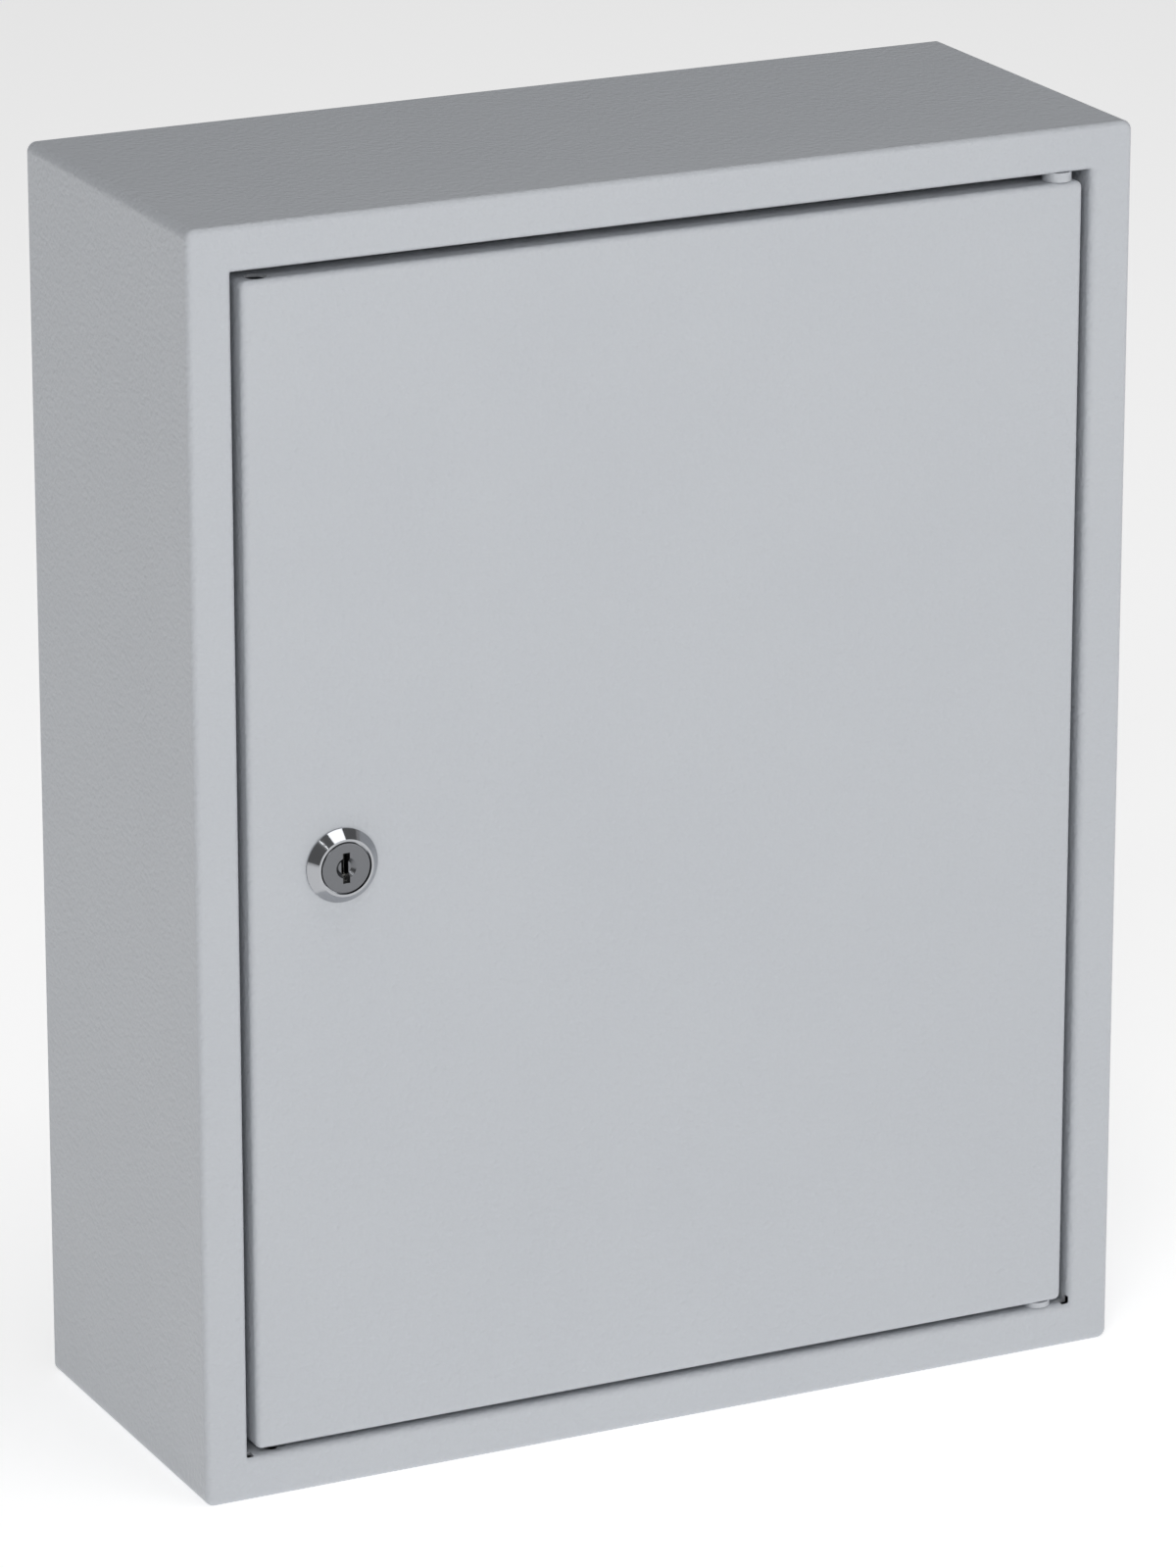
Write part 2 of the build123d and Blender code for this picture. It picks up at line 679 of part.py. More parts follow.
def door_earth_levels():
    """Front and back of the washer and the nut on the door's earth stud."""
    nut_height = nut_height_ratio * earth_stud_diameter
    washer_back = door_inner_y + washer_thickness
    return (door_inner_y, washer_back, washer_back + nut_height)


# ---- door ---------------------------------------------------------------------------
def make_door_panel():
    """The door: a shallow tray with plates in its hinged corners, hinge holes and the lock hole."""
    depth = (front_y, door_back_y)
    door = tray(door_width, door_height, depth, door_corner_radius, front_bend_radius, z=door_z)
    inner_x = door_side_x - sheet
    for sz in (-1, 1):
        inner_z = door_z + sz * (door_height / 2 - sheet)
        z = sorted((inner_z, inner_z - sz * corner_plate_thickness))
        door += block((inner_x - corner_plate_length, inner_x), (door_inner_y, door_back_y), z)
    hole = bush_diameter + 2 * fixing_clearance
    deep = sheet + corner_plate_thickness
    for sx in (-1, 1):
        door -= rod_z(hole, (door_top_z - deep, door_top_z), sx * hinge_x, hinge_y)
        door -= rod_z(hole, (door_bottom_z, door_bottom_z + deep), sx * hinge_x, hinge_y)
    return door - make_barrel_profile((front_y, door_inner_y), fixing_clearance)


def make_door_gasket():
    """The foam seal round the inside of the door, which faces the rebate lip."""
    y = (door_inner_y, lip_front_y - gasket_clearance)
    width = 2 * gasket_outer_x
    height = door_height - 2 * sheet - 2 * gasket_inset
    inside_radius = gasket_corner_radius - gasket_width
    ring = front_slab(width, height, y, gasket_corner_radius, z=door_z)
    inside = (width - 2 * gasket_width, height - 2 * gasket_width)
    return ring - front_slab(*inside, y, inside_radius, z=door_z)


def hinge_ends():
    """For each hinge: its direction (up is 1), the return's face and the door's edge."""
    return {"upper": (1, opening_height / 2, door_top_z), "lower": (-1, -opening_height / 2, door_bottom_z)}


def make_hinge_pin(end):
    """A pin riveted in the frame's return, with its head in the cavity behind the frame."""
    direction, return_z, door_z_edge = hinge_ends()[end]
    head_z = return_z + direction * sheet
    bush_end_z = door_z_edge - direction * (sheet + corner_plate_thickness + bush_collar_height)
    tip_z = bush_end_z - direction * pin_tip_length
    shaft = rod_z(hinge_pin_diameter, sorted((tip_z, head_z)), hinge_x, hinge_y)
    tip = shaft.faces().sort_by(Axis.Z)[0 if direction > 0 else -1]
    shaft = chamfer(tip.edges(), hinge_pin_chamfer)
    crown_z = head_z + direction * hinge_head_height
    head = rod_z(hinge_head_diameter, sorted((head_z, crown_z)), hinge_x, hinge_y)
    crown = head.faces().sort_by(Axis.Z)[-1 if direction > 0 else 0]
    return shaft + fillet(crown.edges(), hinge_head_height * pin_rounding_ratio)


def make_hinge_spacer(end):
    """The round distance piece in the gap between the frame and the door."""
    direction, return_z, door_z_edge = hinge_ends()[end]
    z = sorted((return_z, door_z_edge + direction * end_clearance))
    spacer = rod_z(hinge_spacer_diameter, z, hinge_x, hinge_y)
    return spacer - rod_z(hinge_pin_diameter, z, hinge_x, hinge_y)


def make_hinge_bush(end):
    """The collared bush in the door's corner that turns on the pin."""
    direction, _, door_z_edge = hinge_ends()[end]
    plate_end_z = door_z_edge - direction * (sheet + corner_plate_thickness)
    collar_end_z = plate_end_z - direction * bush_collar_height
    bush = rod_z(bush_diameter, sorted((door_z_edge, collar_end_z)), hinge_x, hinge_y)
    bush += rod_z(bush_collar_diameter, sorted((plate_end_z, collar_end_z)), hinge_x, hinge_y)
    bore = hinge_pin_diameter + 2 * running_clearance
    return bush - rod_z(bore, sorted((door_z_edge, collar_end_z)), hinge_x, hinge_y)


# ---- lock ---------------------------------------------------------------------------
def make_barrel_profile(y, clearance=0.0):
    """The double-flat round of the lock barrel."""
    barrel = rod_y(barrel_diameter + 2 * clearance, y, lock_x, lock_z)
    half = barrel_flats / 2 + clearance
    reach = barrel_diameter / 2 + 2 * clearance
    return barrel & block((lock_x - half, lock_x + half), y, (lock_z - reach, lock_z + reach))


def make_lock_body():
    """The fixed part of the lock: a conical bezel and the barrel behind it, in one casting."""
    cone_front_y = front_y - bezel_height
    rim_y = front_y - bezel_rim
    plane = Plane(origin=(lock_x, rim_y, lock_z), x_dir=(1, 0, 0), z_dir=(0, -1, 0))
    cone_height = bezel_height - bezel_rim
    cone = plane * Pos(0, 0, cone_height / 2) * Cone(bezel_diameter / 2, bezel_top_diameter / 2, cone_height)
    body = cone + rod_y(bezel_diameter, (rim_y, front_y), lock_x, lock_z)
    body += make_barrel_profile((front_y, barrel_end_y))
    body -= rod_y(bezel_bore, (cone_front_y, plug_seat_y), lock_x, lock_z)
    return body - rod_y(plug_diameter + 2 * running_clearance, (cone_front_y, barrel_end_y), lock_x, lock_z)


def make_lock_washer():
    """The toothless washer under the lock nut."""
    y = (door_inner_y, door_inner_y + lock_washer_thickness)
    ring = rod_y(lock_washer_diameter, y, lock_x, lock_z)
    return ring - rod_y(barrel_diameter + 2 * fixing_clearance, y, lock_x, lock_z)


def make_lock_nut():
    """The nut that clamps the lock in the door."""
    start = door_inner_y + lock_washer_thickness
    y = (start, start + lock_nut_thickness)
    return hexagon_y(lock_nut_flats, y, lock_x, lock_z) - rod_y(barrel_diameter, y, lock_x, lock_z)


def wafer_levels():
    """The front faces of the wafers."""
    return [plug_front_y + wafer_first + i * wafer_pitch for i in range(len(wafer_offsets))]


def make_lock_plug():
    """The turning cylinder with its key slot, wafer slots and the square for the cam."""
    face = rod_y(plug_face_diameter, (plug_front_y, plug_front_y + plug_face_thickness), lock_x, lock_z)
    face = fillet(face.faces().sort_by(Axis.Y)[0].edges(), plug_face_rounding)
    plug = face + rod_y(plug_diameter, (plug_front_y + plug_face_thickness, cam_y), lock_x, lock_z)
    plug += block(span(lock_x, cam_square), (cam_y, plug_end_y), span(lock_z, cam_square))
    plane = Plane(origin=(lock_x, plug_front_y, lock_z), x_dir=(1, 0, 0), z_dir=(0, 1, 0))
    bottom = keyhole_diameter / 2 - keyhole_depth
    dish = plane * Pos(0, 0, keyhole_depth / 2) * Cone(keyhole_diameter / 2, bottom, keyhole_depth)
    plug -= dish
    keyway_y = (plug_front_y, plug_front_y + keyway_depth)
    plug -= block(span(lock_x, keyway_width), keyway_y, span(lock_z, keyway_height))
    for y in wafer_levels():
        width = wafer_width + 2 * wafer_clearance
        slot_y = (y - wafer_clearance, y + wafer_thickness + wafer_clearance)
        plug -= block(span(lock_x, width), slot_y, span(lock_z, plug_diameter))
    plug -= rod_y(cam_screw_diameter, (plug_end_y - cam_screw_depth, plug_end_y), lock_x, lock_z)
    return plug


def make_lock_wafers():
    """The tumbler plates, each with a window at its own height."""
    made = []
    for y, shift in zip(wafer_levels(), wafer_offsets):
        thickness = (y, y + wafer_thickness)
        disc = rod_y(plug_diameter, thickness, lock_x, lock_z)
        plate = disc & block(span(lock_x, wafer_width), thickness, span(lock_z, plug_diameter))
        window_z = span(lock_z + shift, wafer_window_height)
        made.append(plate - block(span(lock_x, wafer_window_width), thickness, window_z))
    return group(made)


def make_lock_cam():
    """The tongue that turns behind the rebate lip, hanging down when the door is free."""
    plane = Plane(origin=(lock_x, plug_end_y, lock_z), x_dir=(1, 0, 0), z_dir=(0, -1, 0))
    outline = Circle(cam_width / 2) + Pos(0, -cam_reach / 2) * Rectangle(cam_width, cam_reach)
    cam = extrude(plane * outline, cam_thickness)
    tip = cam.edges().filter_by(Axis.Y).group_by(Axis.Z)[0]
    cam = fillet(tip, cam_corner_radius)
    return cam - block(span(lock_x, cam_square), (cam_y, plug_end_y), span(lock_z, cam_square))


def make_cam_washer():
    """The washer between the cam and its screw."""
    y = (plug_end_y, cam_screw_y)
    ring = rod_y(cam_washer_diameter, y, lock_x, lock_z)
    return ring - rod_y(cam_screw_diameter + 2 * fixing_clearance, y, lock_x, lock_z)


def make_cam_screw():
    """The screw that holds the cam on the plug, its head towards the wall."""
    head = rod_y(cam_screw_head_diameter, (cam_screw_y, cam_screw_y + cam_screw_head_height), lock_x, lock_z)
    head = fillet(head.faces().sort_by(Axis.Y)[-1].edges(), cam_screw_head_height * screw_rounding_ratio)
    shaft = rod_y(cam_screw_diameter, (plug_end_y - cam_screw_depth, cam_screw_y), lock_x, lock_z)
    slot_y = (cam_screw_y + cam_screw_head_height - recess_depth, cam_screw_y + cam_screw_head_height)
    slot = block(span(lock_x, cam_screw_head_diameter), slot_y, span(lock_z, recess_width))
    return head + shaft - slot


# ---- assembly -----------------------------------------------------------------------
def build():
    """Every piece of the cabinet by name."""
    earth_levels = door_earth_levels()
    wall_stud = (back_inner_y - earth_stud_length, back_inner_y)
    door_stud = (door_inner_y, door_inner_y + earth_stud_length)
    return {
        "housing": make_housing_shell(),
        "back_wall": make_back_wall(),
        "gland_plate": make_gland_plate(),
        "gland_plate_seal": make_gland_plate_seal(),
        "cable_grommets": make_cable_grommets(),
        "gland_studs": make_gland_studs(),
        "gland_nuts": make_gland_nuts(),
        "frame_studs": make_frame_studs(),
        "rail_support_left": make_rail_support(-1),
        "rail_support_right": make_rail_support(1),
        "standoffs": make_standoffs(),
        "din_rail_lower": make_din_rail(rail_rows()[0]),
        "din_rail_upper": make_din_rail(rail_rows()[1]),
        "rail_screws": make_rail_screws(),
        "dead_front": make_dead_front(),
        "dead_front_screws": make_dead_front_screws(),
        "neutral_bar": make_terminal_bar(bar_z),
        "neutral_bar_screws": make_terminal_screws(bar_z),
        "neutral_bar_holders": make_bar_holders(bar_z),
        "earth_bar": make_terminal_bar(-bar_z),
        "earth_bar_screws": make_terminal_screws(-bar_z),
        "earth_bar_holders": make_bar_holders(-bar_z),
        "holder_screws": make_holder_screws(),
        "body_earth_stud": make_earth_stud(wall_stud, body_earth_x, body_earth_z),
        "body_earth_washers": make_body_earth_washers(),
        "body_earth_nuts": make_body_earth_nuts(),
        "hinge_pin_upper": make_hinge_pin("upper"),
        "hinge_pin_lower": make_hinge_pin("lower"),
        "hinge_spacer_upper": make_hinge_spacer("upper"),
        "hinge_spacer_lower": make_hinge_spacer("lower"),
        "door_panel": make_door_panel(),
        "door_gasket": make_door_gasket(),
        "hinge_bush_upper": make_hinge_bush("upper"),
        "hinge_bush_lower": make_hinge_bush("lower"),
        "door_earth_stud": make_earth_stud(door_stud, door_earth_x, door_earth_z),
        "door_earth_washer": make_washer(earth_levels[:2], door_earth_x, door_earth_z),
        "door_earth_nut": make_nut(earth_levels[1:], door_earth_x, door_earth_z),
        "lock_body": make_lock_body(),
        "lock_washer": make_lock_washer(),
        "lock_nut": make_lock_nut(),
        "lock_plug": make_lock_plug(),
        "lock_wafers": make_lock_wafers(),
        "lock_cam": make_lock_cam(),
        "cam_washer": make_cam_washer(),
        "cam_screw": make_cam_screw(),
    }


def write_parts():
    """Writes one file for each piece."""
    os.makedirs("parts", exist_ok=True)
    for name, shape in build().items():
        export_step(shape, os.path.join("parts", name + ".step"))


if __name__ == "__main__":
    write_parts()
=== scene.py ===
import json
import math

import bpy
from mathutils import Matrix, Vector


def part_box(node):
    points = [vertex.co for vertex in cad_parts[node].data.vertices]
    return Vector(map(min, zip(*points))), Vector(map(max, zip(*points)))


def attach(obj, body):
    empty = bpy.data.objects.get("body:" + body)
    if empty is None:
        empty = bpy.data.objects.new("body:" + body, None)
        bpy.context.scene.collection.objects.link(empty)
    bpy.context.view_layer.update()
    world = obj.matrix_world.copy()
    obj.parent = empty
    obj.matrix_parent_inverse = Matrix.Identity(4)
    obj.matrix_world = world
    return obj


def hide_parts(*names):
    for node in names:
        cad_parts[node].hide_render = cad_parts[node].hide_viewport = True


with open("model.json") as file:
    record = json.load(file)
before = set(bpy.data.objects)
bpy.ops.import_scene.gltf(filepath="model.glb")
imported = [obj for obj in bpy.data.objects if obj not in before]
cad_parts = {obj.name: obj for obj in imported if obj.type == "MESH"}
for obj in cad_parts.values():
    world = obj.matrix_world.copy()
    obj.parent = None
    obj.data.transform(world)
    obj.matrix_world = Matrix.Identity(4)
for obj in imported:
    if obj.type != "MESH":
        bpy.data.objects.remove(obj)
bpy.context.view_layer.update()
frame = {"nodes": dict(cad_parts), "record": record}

# Looks of a grey wall-hung distribution cabinet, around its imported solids.
# Metres: X to the right, +Y into the wall, +Z up, the front face towards -Y.
MM = 0.001
BLOOM_GAIN = 1.35  # how much lighter the bloom is than the rubber
BLOOM_LIFT = 0.004


# ---- materials ----------------------------------------------------------------------
class Paint:
    """A procedural material under construction, with short calls for its nodes."""

    def __init__(self, name, colour, roughness, metallic=0.0, **sockets):
        self.material = bpy.data.materials.new(name)
        self.material.use_nodes = True
        self.tree = self.material.node_tree
        self.shader = self.tree.nodes["Principled BSDF"]
        self.shader.inputs["Base Color"].default_value = (*colour, 1.0)
        self.shader.inputs["Roughness"].default_value = roughness
        self.shader.inputs["Metallic"].default_value = metallic
        for socket, value in sockets.items():
            self.shader.inputs[socket.replace("_", " ")].default_value = value
        self.place = self.node("ShaderNodeTexCoord").outputs["Object"]

    def node(self, kind, **values):
        """A new node with its inputs set by name."""
        made = self.tree.nodes.new(kind)
        for socket, value in values.items():
            made.inputs[socket.replace("_", " ")].default_value = value
        return made

    def link(self, start, end):
        """Joins two sockets."""
        self.tree.links.new(start, end)

    def noise(self, size, detail=2.0, stretch=(1.0, 1.0, 1.0)):
        """Noise whose lumps are about size metres across."""
        scaled = self.node("ShaderNodeMapping")
        scaled.inputs["Scale"].default_value = [1.0 / (size * s) for s in stretch]
        self.link(self.place, scaled.inputs["Vector"])
        made = self.node("ShaderNodeTexNoise", Scale=1.0, Detail=detail, Roughness=0.5)
        self.link(scaled.outputs["Vector"], made.inputs["Vector"])
        return made.outputs["Fac"]

    def cells(self, size):
        """Voronoi cells about size metres across; returns the node."""
        made = self.node("ShaderNodeTexVoronoi", Scale=1.0 / size)
        self.link(self.place, made.inputs["Vector"])
        return made

    def remap(self, value, low, high, start=0.3, stop=0.7):
        """Spreads a value between start and stop over low to high."""
        made = self.node("ShaderNodeMapRange")
        made.inputs["From Min"].default_value = start
        made.inputs["From Max"].default_value = stop
        made.inputs["To Min"].default_value = low
        made.inputs["To Max"].default_value = high
        self.link(value, made.inputs["Value"])
        return made.outputs["Result"]

    def tint(self, factor, dark, light):
        """Base colour between two colours."""
        made = self.node("ShaderNodeMix")
        made.data_type = "RGBA"
        made.inputs[6].default_value = (*dark, 1.0)
        made.inputs[7].default_value = (*light, 1.0)
        self.link(factor, made.inputs["Factor"])
        self.link(made.outputs[2], self.shader.inputs["Base Color"])

    def roughen(self, value):
        """Roughness from a value."""
        self.link(value, self.shader.inputs["Roughness"])

    def bump(self, height, depth, strength=1.0):
        """A bump of depth metres; a second call adds to the first."""
        made = self.node("ShaderNodeBump", Strength=strength, Distance=depth)
        self.link(height, made.inputs["Height"])
        normal = self.shader.inputs["Normal"]
        if normal.is_linked:
            self.link(normal.links[0].from_socket, made.inputs["Normal"])
        self.link(made.outputs["Normal"], normal)


def powder_coat():
    """Light grey fine-textured powder coat, semi-gloss, with a shallow orange peel."""
    paint = Paint("powder_coat", (0.50, 0.52, 0.55), 0.38, Specular_IOR_Level=0.5)
    patches = paint.remap(paint.noise(50.0 * MM), 0.0, 1.0)
    paint.tint(patches, (0.497, 0.517, 0.548), (0.506, 0.526, 0.556))
    paint.bump(paint.noise(1.8 * MM, detail=1.0), 0.5 * MM, 0.7)
    paint.bump(paint.noise(0.55 * MM, detail=2.0), 0.06 * MM, 0.5)
    return paint.material


def chrome():
    """Polished chrome with the faintest waviness."""
    paint = Paint("chrome", (0.42, 0.43, 0.45), 0.09, 1.0)
    paint.bump(paint.noise(3.0 * MM), 0.01 * MM, 0.4)
    return paint.material


def painted_dark_chrome():
    """The lock cylinder's chrome, finely turned, made darker: a painted dark reflection."""
    paint = Paint("painted_dark_chrome", (0.17, 0.175, 0.185), 0.26, 1.0)
    paint.bump(paint.noise(0.5 * MM, detail=2.0), 0.01 * MM, 0.5)
    return paint.material


def zinc_plate():
    """Bright zinc-plated steel, slightly cloudy."""
    paint = Paint("zinc_plate", (0.60, 0.62, 0.64), 0.3, 1.0)
    cloud = paint.noise(2.0 * MM, detail=3.0)
    paint.tint(paint.remap(cloud, 0.0, 1.0), (0.52, 0.54, 0.56), (0.68, 0.69, 0.70))
    paint.roughen(paint.remap(cloud, 0.24, 0.40))
    paint.bump(paint.noise(0.3 * MM), 0.01 * MM, 0.5)
    return paint.material


def galvanised():
    """Galvanised sheet with its spangle of small crystals."""
    paint = Paint("galvanised", (0.55, 0.57, 0.59), 0.4, 1.0)
    spangle = paint.cells(5.0 * MM)
    separate = paint.node("ShaderNodeSeparateColor")
    paint.link(spangle.outputs["Color"], separate.inputs["Color"])
    paint.tint(separate.outputs["Red"], (0.46, 0.48, 0.50), (0.62, 0.64, 0.66))
    paint.roughen(paint.remap(separate.outputs["Green"], 0.30, 0.50, 0.0, 1.0))
    paint.bump(paint.noise(0.8 * MM), 0.01 * MM, 0.5)
    return paint.material


def yellow_brass():
    """Machined brass, a little dulled."""
    paint = Paint("yellow_brass", (0.72, 0.50, 0.20), 0.28, 1.0)
    lines = paint.noise(0.5 * MM, detail=3.0, stretch=(30.0, 1.0, 1.0))
    paint.tint(paint.remap(lines, 0.0, 1.0), (0.64, 0.43, 0.16), (0.78, 0.56, 0.25))
    paint.roughen(paint.remap(lines, 0.22, 0.36))
    paint.bump(lines, 0.01 * MM, 0.4)
    return paint.material


def nickel_silver():
    """Bright tumbler plates."""
    paint = Paint("nickel_silver", (0.74, 0.72, 0.66), 0.22, 1.0)
    paint.bump(paint.noise(0.4 * MM), 0.01 * MM, 0.4)
    return paint.material


def foam(name, colour):
    """Closed-cell foam with a fine open skin."""
    paint = Paint(name, colour, 0.9)
    paint.bump(paint.noise(0.7 * MM, detail=3.0), 0.25 * MM, 0.6)
    paint.bump(paint.cells(1.1 * MM).outputs["Distance"], 0.15 * MM, 0.5)
    return paint.material


def rubber(name, colour):
    """Moulded rubber with a slight bloom."""
    paint = Paint(name, colour, 0.62)
    bloom = paint.noise(6.0 * MM, detail=3.0)
    light = tuple(c * BLOOM_GAIN + BLOOM_LIFT for c in colour)
    paint.tint(paint.remap(bloom, 0.0, 1.0), colour, light)
    paint.bump(paint.noise(0.4 * MM), 0.02 * MM, 0.5)
    return paint.material


def plastic(name, colour, roughness):
    """Moulded plastic with a fine grain."""
    paint = Paint(name, colour, roughness)
    paint.bump(paint.noise(0.6 * MM, detail=2.0), 0.015 * MM, 0.5)
    return paint.material


MATERIALS = {
    "grey_powder_coat": powder_coat(),
    "chrome": chrome(),
    "zinc_plate": zinc_plate(),
    "galvanised": galvanised(),
    "yellow_brass": yellow_brass(),
    "nickel_silver": nickel_silver(),
    "black_foam": foam("black_foam", (0.018, 0.018, 0.020)),
    "grey_rubber": rubber("grey_rubber", (0.10, 0.105, 0.11)),
    "black_rubber": rubber("black_rubber", (0.02, 0.02, 0.021)),
    "white_nylon": plastic("white_nylon", (0.80, 0.80, 0.76), 0.45),
    "blue_insulator": plastic("blue_insulator", (0.03, 0.14, 0.50), 0.32),
    "green_insulator": plastic("green_insulator", (0.03, 0.28, 0.09), 0.32),
}

SLOTS = {part["node"]: part["material_slot"] for part in frame["record"]["subparts"]}
# the lock plug gets a darker copy of chrome, a painted dark reflection
OWN_LOOKS = {"lock_plug": painted_dark_chrome()}


def dress(piece, slot, material=None):
    """Gives a piece one material: its slot's, or the one given."""
    piece.data.materials.clear()
    piece.data.materials.append(material or MATERIALS[slot])


for node, slot in SLOTS.items():
    dress(frame["nodes"][node], slot, OWN_LOOKS.get(node))


# ---- pieces with finer shapes than their solids ---------------------------------------
THREAD_SIDES = 40
THREAD_ROWS = 8  # along one turn
THREAD_DEPTH = 0.61  # over the pitch
STUD_PITCH = 1.0 * MM
GASKET_WIDTH = 9.0 * MM
GASKET_CORNER = 7.5 * MM  # radius of the middle of the gasket
GASKET_SHOULDER = 0.45  # part of the height that is straight
GASKET_STEPS = 10  # round one corner
DOME_STEPS = 14  # over the top of the gasket


def make_mesh(name, points, faces):
    """A closed mesh, smooth but for the caps at its ends."""
    mesh = bpy.data.meshes.new(name)
    mesh.from_pydata([tuple(point) for point in points], [], faces)
    mesh.update()
    for face in mesh.polygons:
        face.use_smooth = len(face.vertices) == 4
    piece = bpy.data.objects.new(name, mesh)
    bpy.context.scene.collection.objects.link(piece)
    return piece


def tube_faces(rows, sides, closed):
    """Quads between rows of points; an open tube gets a cap at each end."""
    faces = []
    for row in range(rows if closed else rows - 1):
        for side in range(sides):
            after = (side + 1) % sides
            here = row * sides
            there = (row + 1) % rows * sides
            faces.append((here + side, here + after, there + after, there + side))
    if not closed:
        faces.append(tuple(reversed(range(sides))))
        faces.append(tuple((rows - 1) * sides + side for side in range(sides)))
    return faces


def make_threads(name, shafts, pitch):
    """Threaded rods; a shaft is its start, its direction, its length and its outer radius."""
    points, faces = [], []
    for start, along, length, radius in shafts:
        across = along.orthogonal().normalized()
        other = along.cross(across)
        rows = round(length / pitch * THREAD_ROWS) + 1
        first = len(points)
        for row in range(rows):
            height = length * row / (rows - 1)
            for side in range(THREAD_SIDES):
                angle = math.tau * side / THREAD_SIDES
                turn = (height / pitch - side / THREAD_SIDES) % 1.0
                crest = 1.0 - abs(2.0 * turn - 1.0)
                reach = radius - THREAD_DEPTH * pitch * (1.0 - crest)
                around = across * math.cos(angle) + other * math.sin(angle)
                points.append(start + along * height + around * reach)
        for face in tube_faces(rows, THREAD_SIDES, False):
            faces.append(tuple(first + i for i in face))
    return make_mesh(name, points, faces)


def stud_shaft(low, high, axis, towards):
    """The shaft that fills a box along one axis."""
    middle = (low + high) / 2
    length = high[axis] - low[axis]
    radius = min((high - low)[i] for i in range(3) if i != axis) / 2
    along = Vector((0.0, 0.0, 0.0))
    along[axis] = towards
    start = middle.copy()
    start[axis] = low[axis] if towards > 0 else high[axis]
    return (start, along, length, radius)


def replace_stud(node, body, towards):
    """Real threads in place of a plain earth stud."""
    low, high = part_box(node)
    piece = make_threads(node + "_thread", [stud_shaft(low, high, 1, towards)], STUD_PITCH)
    dress(piece, SLOTS[node])
    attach(piece, body)
    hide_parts(node)


def rounded_loop(half_x, half_z, radius, steps):
    """Points round a rectangle with rounded corners, each with its outward direction."""
    places = []
    for corner, (sx, sz) in enumerate(((1, 1), (-1, 1), (-1, -1), (1, -1))):
        for step in range(steps + 1):
            angle = math.pi / 2 * (corner + step / steps)
            out = Vector((math.cos(angle), 0.0, math.sin(angle)))
            hub = Vector((sx * (half_x - radius), 0.0, sz * (half_z - radius)))
            places.append((hub + out * radius, out))
    return places


def make_gasket():
    """The door seal: foam that is flat on the door and domed towards the frame."""
    low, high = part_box("door_gasket")
    middle = (low + high) / 2
    half = (high - low) / 2
    middle_x, middle_z = half.x - GASKET_WIDTH / 2, half.z - GASKET_WIDTH / 2
    loop = rounded_loop(middle_x, middle_z, GASKET_CORNER, GASKET_STEPS)
    dome = [math.pi * step / DOME_STEPS for step in range(DOME_STEPS + 1)]
    rise = (high.y - low.y) * (1.0 - GASKET_SHOULDER)
    foot = low.y + (high.y - low.y) * GASKET_SHOULDER
    section = [(GASKET_WIDTH / 2, low.y)]
    section += [(GASKET_WIDTH / 2 * math.cos(a), foot + rise * math.sin(a)) for a in dome]
    section.append((-GASKET_WIDTH / 2, low.y))
    points = []
    for place, out in loop:
        for across, depth in section:
            spot = place + out * across
            points.append(Vector((middle.x + spot.x, depth, middle.z + spot.z)))
    gasket = make_mesh("foam_gasket", points, tube_faces(len(loop), len(section), True))
    dress(gasket, SLOTS["door_gasket"])
    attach(gasket, "door")
    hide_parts("door_gasket")


replace_stud("body_earth_stud", "cabinet", -1)
replace_stud("door_earth_stud", "door", 1)
make_gasket()


# ---- floor, light, camera -----------------------------------------------------------
FLOOR_SIZE = 60.0
FLOOR_GLOW = 0.54
WORLD_GLOW = 0.16
SOFTBOXES = (  # name, azimuth, elevation, distance, size, power
    ("key", 30, 15, 3.0, 2.6, 26.0),
    ("front_left", -35, 30, 2.6, 0.8, 14.4),
    ("glint", -50, 45, 2.4, 0.15, 1.2),
    ("right", 70, 25, 2.8, 1.6, 1.5),
    ("top", 10, 80, 2.5, 1.5, 16.0),
)
CAMERA_LENS = 180.3
CAMERA_SENSOR = 36.0
CAMERA_AZIMUTH = -25.99
CAMERA_ELEVATION = 18.25
CAMERA_DISTANCE = 2.4134
CAMERA_AIM = Vector((0.3, -2.6, -7.6)) * MM  # from the middle of the housing
CENTRE = (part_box("housing")[0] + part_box("housing")[1]) / 2


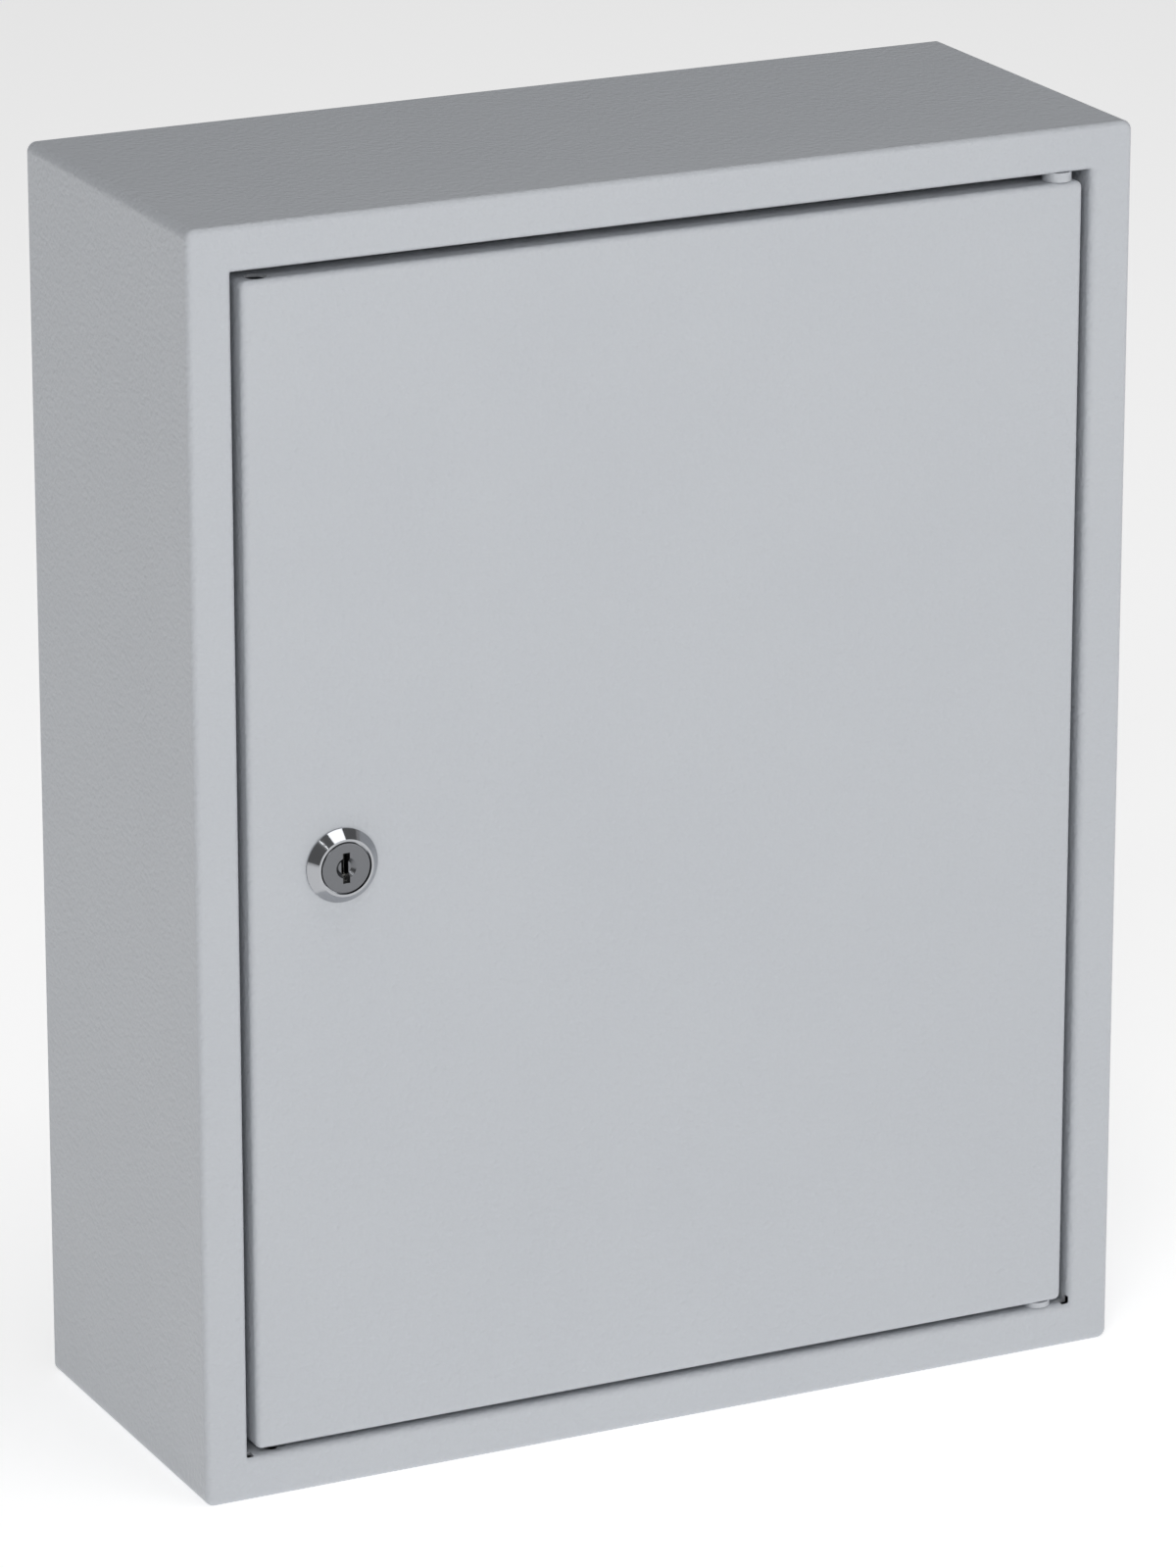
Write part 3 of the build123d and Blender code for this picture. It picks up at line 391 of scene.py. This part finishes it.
def make_floor():
    """A pale floor, a little luminous, as a studio's light table is."""
    bpy.ops.mesh.primitive_plane_add(size=FLOOR_SIZE, location=(0, 0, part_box("housing")[0].z))
    floor = bpy.context.object
    floor.name = "studio_floor"
    paint = Paint("studio_floor", (0.82, 0.82, 0.82), 0.9)
    paint.shader.inputs["Emission Color"].default_value = (1.0, 1.0, 1.0, 1.0)
    paint.shader.inputs["Emission Strength"].default_value = FLOOR_GLOW
    floor.data.materials.append(paint.material)


def view_direction(azimuth, elevation):
    """From the cabinet towards a viewer; azimuth 0 is straight in front, positive to the right."""
    a, e = math.radians(azimuth), math.radians(elevation)
    return Vector((math.sin(a) * math.cos(e), -math.cos(a) * math.cos(e), math.sin(e)))


def make_softbox(name, azimuth, elevation, distance, size, power):
    """A square soft light that looks at the cabinet from a direction."""
    data = bpy.data.lights.new(name, "AREA")
    data.size = size
    data.energy = power
    light = bpy.data.objects.new(name, data)
    bpy.context.scene.collection.objects.link(light)
    away = view_direction(azimuth, elevation)
    light.location = CENTRE + away * distance
    light.rotation_euler = away.to_track_quat("Z", "Y").to_euler()


def make_world(strength):
    """Even grey light from all round."""
    world = bpy.data.worlds.new("studio")
    world.use_nodes = True
    world.node_tree.nodes["Background"].inputs["Color"].default_value = (1.0, 1.0, 1.0, 1.0)
    world.node_tree.nodes["Background"].inputs["Strength"].default_value = strength
    bpy.context.scene.world = world


def make_camera():
    """The camera: slightly from the left and above, through a long lens."""
    data = bpy.data.cameras.new("camera")
    data.lens = CAMERA_LENS
    data.sensor_width = CAMERA_SENSOR
    camera = bpy.data.objects.new("camera", data)
    bpy.context.scene.collection.objects.link(camera)
    away = view_direction(CAMERA_AZIMUTH, CAMERA_ELEVATION)
    camera.location = CENTRE + CAMERA_AIM + away * CAMERA_DISTANCE
    camera.rotation_euler = away.to_track_quat("Z", "Y").to_euler()
    bpy.context.scene.camera = camera


make_floor()
for softbox in SOFTBOXES:
    make_softbox(*softbox)
make_world(WORLD_GLOW)
make_camera()
bpy.context.scene.view_settings.view_transform = "Standard"
